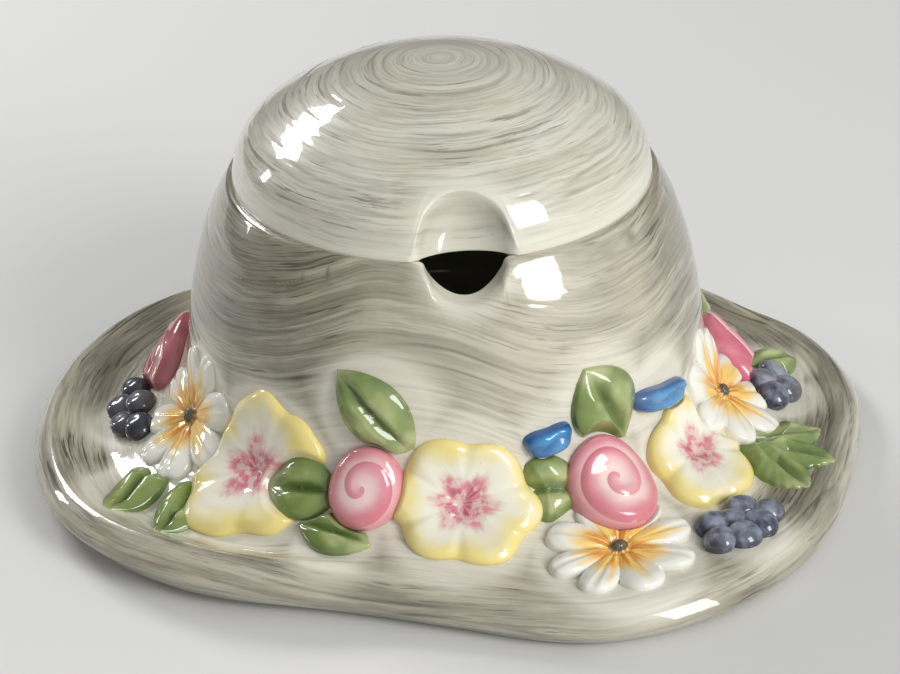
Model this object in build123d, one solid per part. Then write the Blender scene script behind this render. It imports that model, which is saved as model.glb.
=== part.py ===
from build123d import *
import os
from math import asin, atan2, cos, hypot, pi, radians, sin

os.makedirs("parts", exist_ok=True)

# A sugar bowl in the shape of a straw sun hat. The crown is the bowl, the brim is its saucer-like
# foot, the top of the crown lifts off as the lid, and sprigged flowers lie round the brim.
# Millimetres. Z is up, the table is Z = 0, the crown's axis is X = Y = 0, the spoon gap faces -Y.

# Crown: height above the table and outer radius, from the brim up
SEAM_HEIGHT = 60.0
CROWN_LINE = [(14.0, 55.2), (20.0, 54.7), (30.0, 53.5), (42.0, 51.1), (52.0, 47.7), (58.0, 44.8)]
LEDGE_RADIUS = 43.4
CROWN_WALL = 4.0
MOUTH_RADIUS = 40.8
BOWL_FLOOR = 5.0
FLOOR_CORNER = 8.0

# Lid
LID_RADIUS = 42.3
DOME_HEIGHT = 23.4
LID_WALL = 3.4
LID_SHOULDER = 15.0
FLANGE_GAP = 0.6
FLANGE_DEPTH = 2.4
FLANGE_THICKNESS = 3.2

# Spoon gap: an upright scoop in the lid's edge over a round channel in the bowl's rim
SPOON_RADIUS = 7.4
SPOON_OFFSET = 1.6
SPOON_WALL = 3.0
SPOON_LIP = 2.0
CHANNEL_SLOPE = 8.0

# Brim: angle round the crown and a value, all taken at the same kind of place
BRIM_EDGE = [(-180, 87.4), (-155, 88.6), (-135, 83.4), (-112, 74.4), (-95, 76.2), (-75, 86.4), (-52, 90.4),
             (-25, 87.4), (-6, 88.6), (8, 85.4), (20, 78.0), (42, 72.4), (90, 71.5), (128, 73.0), (153, 82.4)]
CREST_HEIGHT = [(-180, 10.5), (-150, 11.0), (-128, 12.0), (-108, 9.4), (-85, 8.4), (-55, 8.5),
                (-20, 8.0), (5, 8.2), (60, 9.5), (120, 10.0)]
VALLEY_HEIGHT = [(-180, 7.6), (-150, 7.8), (-128, 8.6), (-108, 11.0), (-85, 9.6), (-55, 8.4),
                 (-20, 7.6), (5, 7.8), (60, 8.6), (120, 8.6)]
LIFT_HEIGHT = [(-180, 3.0), (-150, 3.0), (-125, 2.6), (-105, 1.2), (-60, 1.0), (0, 1.4), (90, 1.6),
               (150, 2.4)]
ROOT_RADIUS = 58.0
ROOT_HEIGHT = 16.0
CREST_INSET = 4.0
LIP_DROP = 4.0
LIP_TUCK = 2.2
ROOT_RISE = 8.0
UNDER_REACH = 4.0
RING_POINTS = 36
SECTION_STEPS = 3

# Flat foot under the bowl
FOOT_RADIUS = 53.0
FOOT_HEIGHT = 2.0
FOOT_TAPER = 1.0

# Sprigs: how far each kind stands off the hat, and how deep its back reaches before it is trimmed
SPRIG_BACK = 7.0
POCKET_ROOM = 1.04
BLOOM_LIFT = 1.6
BLOOM_HEIGHT = 3.2
BLOOM_DISH = 2.0
BLOOM_WAVE = (0.16, 2.0)
DAISY_LIFT = 1.6
DAISY_HEIGHT = 2.8
DAISY_EYE = 1.7
DAISY_WAVE = (0.32, 0.7)
BUD_HEIGHT = 5.6
BUD_LIFT = 0.6
BUD_SIDES = 6
BUD_ROOM = 1.1
LEAF_LIFT = 0.8
LEAF_HEIGHT = 2.4
LEAF_EDGE = 0.8
BERRY_LIFT = 0.8
LOOP_HEIGHT = 3.0


def around(table, angle):
    """Smooth value at an angle, from (angle, value) pairs that go once round the crown."""
    place = (angle + 180.0) % 360.0 - 180.0
    turn = [(a - 360.0, v) for a, v in table[-2:]] + list(table) + [(a + 360.0, v) for a, v in table[:3]]
    for before, low, high, after in zip(turn, turn[1:], turn[2:], turn[3:]):
        if low[0] <= place < high[0]:
            span = high[0] - low[0]
            t = (place - low[0]) / span
            rise_low = (high[1] - before[1]) / (high[0] - before[0]) * span
            rise_high = (after[1] - low[1]) / (after[0] - low[0]) * span
            return ((2 * t**3 - 3 * t**2 + 1) * low[1] + (t**3 - 2 * t**2 + t) * rise_low
                    + (3 * t**2 - 2 * t**3) * high[1] + (t**3 - t**2) * rise_high)


def brim_line(angle):
    """Brim section at an angle: (radius, height) from the crown's root out to the lip's underside."""
    edge = around(BRIM_EDGE, angle)
    crest = around(CREST_HEIGHT, angle)
    valley = around(VALLEY_HEIGHT, angle)
    width = edge - ROOT_RADIUS
    return [(ROOT_RADIUS, ROOT_HEIGHT),
            (ROOT_RADIUS + 0.22 * width, 0.42 * ROOT_HEIGHT + 0.58 * valley),
            (ROOT_RADIUS + 0.55 * width, valley),
            (edge - CREST_INSET, crest),
            (edge, crest - LIP_DROP),
            (edge - LIP_TUCK, around(LIFT_HEIGHT, angle))]


def polar(radius, angle, height):
    return Vector(radius * cos(radians(angle)), radius * sin(radians(angle)), height)


def closed_curve(points):
    return Wire([Spline(*points, periodic=True)])


def turned(outline):
    """Solid of revolution about the crown's axis, from a closed outline in (radius, height)."""
    return revolve(make_face(Plane.XZ * outline), Axis.Z)


def make_crown():
    low = CROWN_LINE[0]
    rim = (LEDGE_RADIUS, SEAM_HEIGHT)
    side = Spline(*[(r, z) for z, r in CROWN_LINE], rim)
    floor_point = (low[1], low[0])
    outline = side + Polyline(rim, (0, SEAM_HEIGHT), (0, low[0]), floor_point)
    return turned(outline)


def smooth_section(points, steps):
    """Points along a soft curve through a section's stations, with the ends kept."""
    ends = [points[0]] + list(points) + [points[-1]]
    section = []
    for before, low, high, after in zip(ends, ends[1:], ends[2:], ends[3:]):
        for i in range(steps):
            t = i / steps
            near = (2 * t**3 - 3 * t**2 + 1, 3 * t**2 - 2 * t**3)
            pull = ((t**3 - 2 * t**2 + t) / 2, (t**3 - t**2) / 2)
            section.append(tuple(near[0] * low[k] + near[1] * high[k] + pull[0] * (high[k] - before[k])
                                 + pull[1] * (after[k] - low[k]) for k in range(2)))
    section.append(points[-1])
    return section


def brim_section(angle):
    """Whole brim section, from inside the crown's wall, over the lip and back below to the foot."""
    wall_middle = CROWN_LINE[0][1] - CROWN_WALL / 2
    under = around(LIFT_HEIGHT, angle)
    above = smooth_section([(wall_middle, ROOT_HEIGHT + ROOT_RISE)] + brim_line(angle), SECTION_STEPS)
    below = [(ROOT_RADIUS + UNDER_REACH, under / 2 + FOOT_HEIGHT), (FOOT_RADIUS, FOOT_HEIGHT)]
    return above + below + [(FOOT_RADIUS - FOOT_TAPER, 0)]


def make_brim():
    """Closed skin of bands between rings that run round the brim, capped inside the crown and foot."""
    angles = [360.0 * i / RING_POINTS for i in range(RING_POINTS)]
    sections = [brim_section(angle) for angle in angles]
    rings = []
    for stations in zip(*sections):
        rings.append(closed_curve([polar(r, angle, z) for (r, z), angle in zip(stations, angles)]))
    return Solid.make_loft(rings, ruled=True)


def make_cavity():
    inside = [(r - CROWN_WALL, z) for z, r in CROWN_LINE[1:-1]]
    neck = (MOUTH_RADIUS, SEAM_HEIGHT - 4.0)
    top = SEAM_HEIGHT + 1.0
    base_radius = inside[0][0] - FLOOR_CORNER
    corner_z = BOWL_FLOOR + FLOOR_CORNER
    corner = CenterArc((base_radius, corner_z), FLOOR_CORNER, -90, 90)
    wall = Spline(corner @ 1, *inside[1:], neck, tangents=[(0, 1), (0, 1)])
    rest = Polyline(neck, (MOUTH_RADIUS, top), (0, top), (0, BOWL_FLOOR), corner @ 0)
    return turned(corner + wall + rest)


def spoon_channel():
    """Round channel across the bowl's rim, falling a little towards the outside."""
    length = 2 * (CROWN_LINE[0][1] - MOUTH_RADIUS) + 12.0
    bar = Cylinder(SPOON_RADIUS, length)
    place = Location((0, -MOUTH_RADIUS, SEAM_HEIGHT), (90 + CHANNEL_SLOPE, 0, 0))
    return place * bar


def make_hat(envelope):
    """The envelope with the bowl's inside and the spoon channel taken out."""
    return envelope - make_cavity() - spoon_channel()


def half_dome(radius, height, base, shoulder):
    """Solid under a low dome on the height called base: a shoulder arc that runs into one wide arc."""
    reach = radius - shoulder
    crown = (reach**2 + height**2 - shoulder**2) / (2 * (height - shoulder))
    share = crown / (crown - shoulder)
    meet = (reach * share, base + height - crown + (crown - height) * share)
    start = (radius, base)
    rise = atan2(crown - height, reach) / 2
    side = ThreePointArc(start, (reach + shoulder * cos(rise), base + shoulder * sin(rise)), meet)
    half_turn = asin(meet[0] / crown) / 2
    top = (0, base + height)
    over = ThreePointArc(meet, (crown * sin(half_turn), base + height - crown * (1 - cos(half_turn))), top)
    return turned(side + over + Polyline(top, (0, base), start))


def make_lid():
    flange_radius = MOUTH_RADIUS - FLANGE_GAP
    flange_foot = SEAM_HEIGHT - FLANGE_DEPTH
    top = SEAM_HEIGHT + DOME_HEIGHT
    centre = Location((0, -(LID_RADIUS + SPOON_OFFSET), flange_foot))
    scoop = centre * Cylinder(SPOON_RADIUS, DOME_HEIGHT * 2)
    back = centre * Cylinder(SPOON_RADIUS + SPOON_WALL, DOME_HEIGHT * 2)
    dome = half_dome(LID_RADIUS, DOME_HEIGHT, SEAM_HEIGHT, LID_SHOULDER) - scoop
    lip = [edge for edge in dome.edges() if edge.center().Y < 0 and edge.center().Z > SEAM_HEIGHT + SPOON_LIP
           and edge.geom_type == GeomType.BSPLINE]
    dome = fillet(lip, SPOON_LIP)
    flange = Pos(0, 0, flange_foot) * Cylinder(flange_radius, FLANGE_DEPTH + 1.0,
                                              align=(Align.CENTER, Align.CENTER, Align.MIN))
    void_height = top - LID_WALL - flange_foot
    void = half_dome(flange_radius - FLANGE_THICKNESS, void_height, flange_foot, LID_SHOULDER)
    return dome + (flange - scoop) - (void - back)


def section_point(line, start, distance):
    """Point at a distance along a section from the station called start, outwards or back."""
    step = 1 if distance >= 0 else -1
    left = abs(distance)
    here = start
    while True:
        (r0, z0), (r1, z1) = line[here], line[here + step]
        length = hypot(r1 - r0, z1 - z0)
        last = here + 2 * step < 0 or here + 2 * step >= len(line)
        if left <= length or last:
            return r0 + (r1 - r0) * left / length, z0 + (z1 - z0) * left / length
        left -= length
        here += step


def seat(angle, out, turn, lift):
    """Plane on the hat where a sprig lies: out is the distance from the crown's root along the surface."""
    wall = [(r, z) for z, r in reversed(CROWN_LINE) if z > ROOT_HEIGHT + 2.0]
    line = wall + brim_line(angle)
    spots = [section_point(line, len(wall), out + shift) for shift in (-2.0, 0.0, 2.0)]
    slope = atan2(spots[2][1] - spots[0][1], spots[2][0] - spots[0][0])
    outward = Vector(cos(slope) * cos(radians(angle)), cos(slope) * sin(radians(angle)), sin(slope))
    along = Vector(-sin(radians(angle)), cos(radians(angle)), 0)
    normal = along.cross(outward) * -1
    across = along * cos(radians(turn)) + outward * sin(radians(turn))
    return Plane(polar(spots[1][0], angle, spots[1][1]) + normal * lift, x_dir=across, z_dir=normal)


def lobed_points(long, wide, lobes, wave, height, grow=1.0):
    """Points round an outline of rounded lobes; wave is their depth and how blunt they are."""
    depth, blunt = wave
    count = 4 * lobes
    points = []
    for i in range(count):
        phase = 2 * pi * i / count
        share = grow * (1 - depth * (1 - abs(cos(lobes * phase / 2)) ** blunt))
        points.append(Vector(long * share * cos(phase), wide * share * sin(phase), height))
    return points


def lobed_body(long, wide, height, lobes, wave):
    """Flower head with lobed petals: narrow at its back, widest at the middle, rolled in at the top."""
    levels = [(-SPRIG_BACK, 0.86), (0.0, 0.96), (0.5 * height, 1.0), (height, 0.9)]
    rings = [closed_curve(lobed_points(long, wide, lobes, wave, z, share)) for z, share in levels]
    return Solid.make_loft(rings, ruled=True)


def pocket(points):
    """Straight-sided block round an outline, which makes room for a sprig in those that lie under it."""
    face = make_face(Polyline(*points, close=True))
    return Pos(0, 0, -2 * SPRIG_BACK) * extrude(face, 4 * SPRIG_BACK)


def bloom(long, wide, lobes):
    """Open dished flower with a soft wavy edge."""
    rim = 0.8 * wide
    ball = (rim**2 + BLOOM_DISH**2) / (2 * BLOOM_DISH)
    dish = Pos(0, 0, BLOOM_HEIGHT + ball - BLOOM_DISH) * Sphere(ball)
    throat = Pos(0, 0, BLOOM_HEIGHT - BLOOM_DISH) * Sphere(0.16 * wide)
    head = lobed_body(long, wide, BLOOM_HEIGHT, lobes, BLOOM_WAVE) - dish - throat
    return head, pocket(lobed_points(long, wide, lobes, BLOOM_WAVE, 0, POCKET_ROOM))


def daisy(long, wide, petals):
    """Flat flower of round-ended petals with a small round eye."""
    head = lobed_body(long, wide, DAISY_HEIGHT, petals, DAISY_WAVE)
    head = head + Pos(0, 0, DAISY_HEIGHT) * Sphere(DAISY_EYE)
    return head, pocket(lobed_points(long, wide, petals, DAISY_WAVE, 0, POCKET_ROOM))


def egg(long, wide, high):
    return scale(Sphere(1.0), by=(long, wide, high))


def rosebud(long, wide):
    """Plump closed bud: a core, a petal wrapped round it and the small coil at its heart."""
    core = egg(long, wide, BUD_HEIGHT)
    wrap = Pos(-0.16 * long, 0.24 * wide, 0) * egg(0.82 * long, 0.78 * wide, BUD_HEIGHT * 0.93)
    coil = Pos(0.12 * long, -0.1 * wide, 0.82 * BUD_HEIGHT) * Torus(0.36 * wide, 0.16 * wide)
    return core + wrap + coil, pocket(lobed_points(long, wide, BUD_SIDES, (0, 1), 0, BUD_ROOM))


def leaf(long, wide):
    """Pointed leaf whose two halves swell on each side of a sunk midrib."""
    tip = (long, 0)
    stem = (-long, 0)
    outline = make_face(ThreePointArc(stem, (0, wide), tip) + ThreePointArc(tip, (0, -wide), stem))
    blade = Pos(0, 0, -SPRIG_BACK) * extrude(outline, LEAF_HEIGHT + SPRIG_BACK)
    ball = (long**2 + wide**2) / (2 * (LEAF_HEIGHT - LEAF_EDGE))
    halves = [Pos(0, side * wide / 2, LEAF_HEIGHT - ball) * Sphere(ball) for side in (-1, 1)]
    return blade & (halves[0] + halves[1]), Pos(0, 0, -2 * SPRIG_BACK) * extrude(outline, 4 * SPRIG_BACK)


def berries(radius, spots):
    """Cluster of round berries grown together."""
    cluster = Pos(*spots[0], 0) * Sphere(radius)
    for x, y in spots[1:]:
        cluster += Pos(x, y, 0) * Sphere(radius)
    return cluster, cluster


def ribbon_loop(long, wide):
    """Short puffed loop of ribbon with rounded ends."""
    outline = SlotOverall(2 * long, 2 * wide)
    pad = Pos(0, 0, -SPRIG_BACK) * extrude(outline, LOOP_HEIGHT + SPRIG_BACK)
    pad = fillet(pad.faces().sort_by(Axis.Z)[-1].edges(), LOOP_HEIGHT / 2)
    return pad, Pos(0, 0, -2 * SPRIG_BACK) * extrude(outline, 4 * SPRIG_BACK)


def leaf_spray(long, wide, spread):
    """Three leaves fanned out from one stem."""
    spray = leaf(long, wide)
    fan = [Rot(0, 0, side * spread) * Pos(0.7 * long, 0, 0) for side in (-1, 0, 1)]
    blade, room = [fan[0] * part + fan[1] * part + fan[2] * part for part in spray]
    return blade, room


# Sprigs from the top of the pile down: name, shape, angle, distance out, turn and lift
SPRIGS = [
    ("berries_left", berries(3.4, [(-8.0, 1.4), (-2.8, -1.8), (-1.2, 2.4), (3.4, -1.6), (6.6, 1.4)]),
     -174.5, 11.0, 0, BERRY_LIFT),
    ("berries_right", berries(3.4, [(-6.6, -0.6), (-2.2, -3.0), (2.6, -3.0), (7.0, -1.4), (-3.8, 3.0),
                            (0.6, 1.4), (4.6, 2.6)]), -50.5, 21.6, 0, BERRY_LIFT),
    ("berries_right_back", berries(3.6, [(-4.2, 0.6), (0.0, -2.6), (0.5, 2.6), (4.5, 0.0)]),
     -11, 13.5, 0, BERRY_LIFT),
    ("berries_back", berries(3.7, [(-4.4, 0.0), (0.2, 2.2), (4.6, 0.4), (0.0, -2.4)]),
     108, 9.5, 0, BERRY_LIFT),
    ("rosebud_left", rosebud(10.0, 6.4), -187, 0.0, 28, BUD_LIFT),
    ("rosebud_front_left", rosebud(7.8, 7.0), -111.2, -3.0, 115, BUD_LIFT),
    ("rosebud_front_right", rosebud(9.2, 8.6), -64.2, 1.6, 60, BUD_LIFT),
    ("rosebud_right", rosebud(9.4, 5.2), -6.5, 2.0, 135, BUD_LIFT),
    ("rosebud_back_right", rosebud(8.6, 7.0), 51, 0.0, 120, BUD_LIFT),
    ("rosebud_back_left", rosebud(8.8, 7.2), 99, -1.0, 65, BUD_LIFT),
    ("ribbon_loop_front", ribbon_loop(4.6, 2.9), -75, -11.8, -8, 0.0),
    ("ribbon_loop_right", ribbon_loop(8.2, 2.7), -45.5, -11.2, 12, 0.0),
    ("daisy_left", daisy(13.9, 13.4, 8), -159, -1.5, 10, DAISY_LIFT),
    ("daisy_right", daisy(13.8, 13.2, 8), -23, 1.0, 0, DAISY_LIFT),
    ("daisy_back", daisy(13.0, 12.4, 8), 68, 0.5, 15, DAISY_LIFT),
    ("daisy_back_left", daisy(13.2, 12.8, 8), 120, 0.5, 5, DAISY_LIFT),
    ("bloom_front", bloom(14.8, 11.6, 6), -93, -1.0, 8, BLOOM_LIFT),
    ("bloom_left", bloom(15.8, 13.6, 5), -135, -1.0, -35, BLOOM_LIFT),
    ("bloom_right", bloom(12.8, 11.4, 5), -43, 4.0, 0, BLOOM_LIFT),
    ("bloom_back_right", bloom(13.0, 12.0, 5), 37, 1.0, 20, BLOOM_LIFT),
    ("bloom_back", bloom(14.4, 11.8, 6), 84, 0.0, -10, BLOOM_LIFT),
    ("bloom_back_left", bloom(12.8, 11.6, 5), 137, 0.5, 30, BLOOM_LIFT),
    ("daisy_front_right", daisy(15.5, 11.0, 8), -69, 14.0, 0, DAISY_LIFT),
    ("leaf_front_left_upper", leaf(7.8, 6.0), -124, -0.6, 170, LEAF_LIFT),
    ("leaf_front", leaf(8.0, 6.2), -76.5, -1.8, 190, LEAF_LIFT),
    ("leaf_front_left_lower", leaf(7.8, 4.4), -115.5, 6.6, 8, LEAF_LIFT),
    ("leaf_crown_left", leaf(10.4, 6.0), -110, -19.0, 225, 0.0),
    ("leaf_crown_right", leaf(9.0, 7.4), -61.5, -15.6, 245, 0.0),
    ("leaf_left_inner", leaf(8.4, 4.8), -144, 13.2, 68, LEAF_LIFT),
    ("leaf_left_outer", leaf(10.6, 5.2), -154, 15.6, 58, LEAF_LIFT),
    ("leaf_spray_right", leaf_spray(10.4, 5.6, 38), -30, 10.0, 82, LEAF_LIFT),
    ("leaf_right_back", leaf(6.8, 4.4), -2, 15.0, 60, LEAF_LIFT),
    ("leaf_crown_right_back", leaf(7.0, 4.0), 8, -3.5, 255, LEAF_LIFT),
    ("leaf_back_right", leaf(8.4, 4.6), 46, 10.5, 100, LEAF_LIFT),
    ("leaf_crown_back", leaf(9.2, 5.6), 58, -16.0, 250, 0.0),
    ("leaf_back", leaf(8.2, 4.6), 76, 9.0, 85, LEAF_LIFT),
    ("leaf_back_left", leaf(8.4, 5.0), 97, 10.0, 70, LEAF_LIFT),
    ("leaf_crown_back_left", leaf(9.2, 5.6), 128, -15.5, 290, 0.0),
]


envelope = make_crown() + make_brim()
pieces = {"hat_bowl": make_hat(envelope), "lid": make_lid()}

laid = []
for name, shape, angle, out, turn, lift in SPRIGS:
    place = seat(angle, out, turn, lift)
    solid, room = shape
    reach = solid.bounding_box().diagonal / 2
    sprig = place.location * solid - envelope
    for other, spot, extent in laid:
        if (spot - place.origin).length < reach + extent:
            sprig = sprig - other
    laid.append((place.location * room, place.origin, reach))
    pieces[name] = sprig.solids().sort_by(SortBy.VOLUME)[-1]

for name, solid in pieces.items():
    export_step(solid, f"parts/{name}.step")
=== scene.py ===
from math import asin, atan2, cos, hypot, pi, radians, sin

import bpy
import numpy as np
from mathutils import Matrix, Vector
from mathutils.bvhtree import BVHTree


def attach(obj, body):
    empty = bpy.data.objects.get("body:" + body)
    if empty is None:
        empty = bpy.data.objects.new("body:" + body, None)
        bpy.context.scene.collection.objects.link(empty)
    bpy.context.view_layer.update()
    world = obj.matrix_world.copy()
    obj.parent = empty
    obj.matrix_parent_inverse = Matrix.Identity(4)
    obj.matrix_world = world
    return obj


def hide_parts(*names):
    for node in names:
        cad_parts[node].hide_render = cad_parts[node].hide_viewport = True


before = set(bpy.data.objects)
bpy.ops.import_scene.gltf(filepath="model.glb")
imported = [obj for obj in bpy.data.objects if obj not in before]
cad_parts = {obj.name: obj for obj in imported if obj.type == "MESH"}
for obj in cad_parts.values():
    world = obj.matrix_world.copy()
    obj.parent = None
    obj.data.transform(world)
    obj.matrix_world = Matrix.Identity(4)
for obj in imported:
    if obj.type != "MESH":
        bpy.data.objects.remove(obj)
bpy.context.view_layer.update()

# The bowl: crown, brim and foot of the straw hat, slip-cast in one piece of pale earthenware.
# The hollow crown holds the sugar, a round channel across its rim lets a spoon's handle out, and
# the straw rings are raised in the clay, stained grey by brush and glazed over.
MM = 0.001
SEAM_HEIGHT = 60.0
RIM_RADIUS = 43.4
CROWN_LINE = [(14.0, 55.2), (20.0, 54.7), (30.0, 53.5), (42.0, 51.1), (52.0, 47.7), (58.0, 44.8),
              (SEAM_HEIGHT, RIM_RADIUS)]
CROWN_WALL = 4.0
MOUTH_RADIUS = 40.8
BOWL_FLOOR = 5.0
FLOOR_CORNER = 8.0
WALL_FOOT = BOWL_FLOOR + FLOOR_CORNER
INSIDE_FOOT = CROWN_LINE[1][1] - CROWN_WALL
INSIDE_LINE = ([(WALL_FOOT, INSIDE_FOOT)] + [(z, r - CROWN_WALL) for z, r in CROWN_LINE[1:5]]
               + [(56.0, MOUTH_RADIUS), (SEAM_HEIGHT, MOUTH_RADIUS)])
THROAT = 3.0
RIM_BAND = 5.0
RIM_ROUND_INSIDE = 0.8
RIM_ROUND_OUTSIDE = 0.9
SPOON_RADIUS = 7.4
CHANNEL_SLOPE = 0.14
CHANNEL_EDGE = 1.6
CHANNEL_FLARE = 3.6
CHANNEL_DROP = 0.82
CHANNEL_REACH = 13.0
CHANNEL_FADE = 7.0
GAP_ANGLE = -90.0
FINE_HALF = 13.0
FINE_STEP = 0.25
COARSE_COLUMNS = 560
FOOT_RADIUS = 53.0
CROWN_FOOT = 27.0
ROOT_SWELL = 0.4
ROOT_RADIUS = 58.0
ROOT_HEIGHT = 16.0
BRIM_EDGE = [(-180, 87.4), (-155, 88.6), (-135, 83.4), (-112, 74.4), (-95, 76.2), (-75, 86.4), (-52, 90.4),
             (-25, 87.4), (-6, 88.6), (8, 85.4), (20, 78.0), (42, 72.4), (90, 71.5), (128, 73.0), (153, 82.4)]
CREST_HEIGHT = [(-180, 10.5), (-150, 11.0), (-128, 12.0), (-108, 9.4), (-85, 8.4), (-55, 8.5),
                (-20, 8.0), (5, 8.2), (60, 9.5), (120, 10.0)]
VALLEY_HEIGHT = [(-180, 7.6), (-150, 7.8), (-128, 8.6), (-108, 11.0), (-85, 9.6), (-55, 8.4),
                 (-20, 7.6), (5, 7.8), (60, 8.6), (120, 8.6)]
LIFT_HEIGHT = [(-180, 3.0), (-150, 3.0), (-125, 2.6), (-105, 1.2), (-60, 1.0), (0, 1.4), (90, 1.6),
               (150, 2.4)]
LIP_ROUND = 4.0
LIP_TUCK = 2.2
BRIM_ARC = 112.0


def soft_bend(t, low, high, rise_low, rise_high):
    """Value at t, from 0 to 1, on a soft curve that has these values and slopes at its ends."""
    return ((2 * t**3 - 3 * t**2 + 1) * low + (3 * t**2 - 2 * t**3) * high
            + (t**3 - 2 * t**2 + t) * rise_low + (t**3 - t**2) * rise_high)


def eased(share):
    """Share from 0 to 1 that starts and ends softly."""
    return share**2 * (3 - 2 * share)


def around(table, angle):
    """Smooth value at an angle, from (angle, value) pairs that go once round the crown."""
    place = (angle + 180.0) % 360.0 - 180.0
    turn = [(a - 360.0, v) for a, v in table[-2:]] + list(table) + [(a + 360.0, v) for a, v in table[:3]]
    for before, low, high, after in zip(turn, turn[1:], turn[2:], turn[3:]):
        if low[0] <= place < high[0]:
            span = high[0] - low[0]
            rise_low = (high[1] - before[1]) / (high[0] - before[0]) * span
            rise_high = (after[1] - low[1]) / (after[0] - low[0]) * span
            return soft_bend((place - low[0]) / span, low[1], high[1], rise_low, rise_high)


def brim_line(angle):
    """Brim section at an angle: (radius, height) from the crown's root out to the lip's underside."""
    edge, crest = around(BRIM_EDGE, angle), around(CREST_HEIGHT, angle)
    valley = around(VALLEY_HEIGHT, angle)
    width = edge - ROOT_RADIUS
    return [(ROOT_RADIUS, ROOT_HEIGHT), (ROOT_RADIUS + 0.22 * width, 0.42 * ROOT_HEIGHT + 0.58 * valley),
            (ROOT_RADIUS + 0.55 * width, valley), (edge - LIP_ROUND, crest), (edge, crest - LIP_ROUND),
            (edge - LIP_TUCK, around(LIFT_HEIGHT, angle))]


def soft_line(stations, steps):
    """Rows along soft curves through stations, one curve for every column round the hat."""
    spots = np.array(stations)
    length = np.maximum(np.linalg.norm(np.diff(spots, axis=0), axis=2, keepdims=True), 1e-6)
    slope = np.empty_like(spots)
    slope[0] = (spots[1] - spots[0]) / length[0]
    slope[-1] = (spots[-1] - spots[-2]) / length[-1]
    slope[1:-1] = (spots[2:] - spots[:-2]) / (length[1:] + length[:-1])
    rows = [soft_bend(i / count, spots[k], spots[k + 1], length[k] * slope[k], length[k] * slope[k + 1])
            for k, count in enumerate(steps) for i in range(count)]
    return rows + [spots[-1]]


def rounded_line(corners, sizes, steps, bend_steps):
    """Rows along straight runs whose corners are rounded, one line for every column round the hat."""
    spots = np.array(corners)
    run = np.diff(spots, axis=0)
    length = np.linalg.norm(run, axis=2, keepdims=True)
    way = run / np.maximum(length, 1e-6)
    starts, bends = [spots[0]], []
    for k, size in enumerate(sizes, start=1):
        reach = np.minimum(size, 0.45 * np.minimum(length[k - 1], length[k]))
        enter, leave = spots[k] - way[k - 1] * reach, spots[k] + way[k] * reach
        bends.append([(1 - t) ** 2 * enter + 2 * t * (1 - t) * spots[k] + t**2 * leave
                      for t in np.linspace(0, 1, bend_steps)])
        starts.append(leave)
    rows = []
    for k, start in enumerate(starts):
        end = bends[k][0] if k < len(bends) else spots[-1]
        rows += [start + (end - start) * i / steps[k] for i in range(1 if k else 0, steps[k])]
        rows += bends[k] if k < len(bends) else [end]
    return rows


LATTICE = 64
STRAW_WIDTH = 3.0
THREAD_WIDTH = 1.15
STRAW_LIFT = 0.06
THREAD_LIFT = 0.004
CREASE_DEPTH = 0.16


def straw_noise(points, seed):
    """Smooth noise from -1 to 1 at points in lattice units, the same on every run."""
    lattice = np.random.RandomState(seed).uniform(-1, 1, (LATTICE, LATTICE, LATTICE))
    cell = np.floor(points).astype(int)
    share = eased(points - cell)
    total = np.zeros(points.shape[:-1])
    for step in np.ndindex(2, 2, 2):
        weight = np.prod([share[..., k] if step[k] else 1 - share[..., k] for k in range(3)], axis=0)
        total += weight * lattice[tuple(np.moveaxis((cell + step) % LATTICE, -1, 0))]
    return total


def surface_normals(points):
    """Outward normals of a closed grid of points, rows by columns."""
    down = np.gradient(points, axis=0)
    round_way = np.roll(points, -1, axis=1) - np.roll(points, 1, axis=1)
    normal = np.cross(down, round_way)
    return normal / np.maximum(np.linalg.norm(normal, axis=2, keepdims=True), 1e-9)


def raise_straw(points, along, strength):
    """Presses straw rings into a grid of points and gives the grooves' depth, 0 to 1."""
    drift = straw_noise(points / 34.0, 3) * 1.9 + straw_noise(points / 11.0, 4) * 0.5
    flow = (along + drift)[..., None]
    wide, thin = (straw_noise(np.concatenate([points[..., :2] / length, flow / width], axis=2) + 9.0, seed)
                  for length, width, seed in ((34.0, STRAW_WIDTH, 5), (24.0, THREAD_WIDTH, 6)))
    patch = np.clip(straw_noise(points / 16.0 + 5.0, 8) + 0.6, 0, 1)
    steep = np.abs(np.gradient(wide, axis=0)) / np.maximum(np.abs(np.gradient(along, axis=0)), 0.05)
    crease = np.exp(-((wide - 0.12) / 0.085) ** 2) * patch * np.clip(steep / 0.16, 0, 1) ** 2
    lift = STRAW_LIFT * wide + THREAD_LIFT * thin - CREASE_DEPTH * crease
    groove = np.clip(crease + 0.5 * np.clip(-thin - 0.2, 0, 1) * patch, 0, 1)
    return points + surface_normals(points) * (lift * strength)[..., None], groove * (strength > 0.02)


def columns_round():
    """Angles of the columns round the hat, closer together beside the spoon gap."""
    fine = np.arange(GAP_ANGLE - FINE_HALF, GAP_ANGLE + FINE_HALF, FINE_STEP)
    coarse = np.linspace(GAP_ANGLE + FINE_HALF, GAP_ANGLE + 360.0 - FINE_HALF, COARSE_COLUMNS, endpoint=False)
    return np.radians(np.concatenate([fine, coarse]))


def turned_points(rows, angles):
    """Grid of points in space from rows of (radius, height)."""
    line = np.array(rows)
    return np.stack([line[..., 0] * np.cos(angles), line[..., 0] * np.sin(angles), line[..., 1]], axis=2)


def new_mesh(name, points, faces, fields):
    """Smooth mesh from points in metres, its faces and its painting values."""
    mesh = bpy.data.meshes.new(name)
    mesh.from_pydata(points, [], faces)
    for title, field in fields.items():
        mesh.attributes.new(title, "FLOAT", "POINT").data.foreach_set("value", np.array(field, np.float32))
    mesh.polygons.foreach_set("use_smooth", np.ones(len(mesh.polygons), bool))
    mesh.update()
    return mesh


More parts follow.
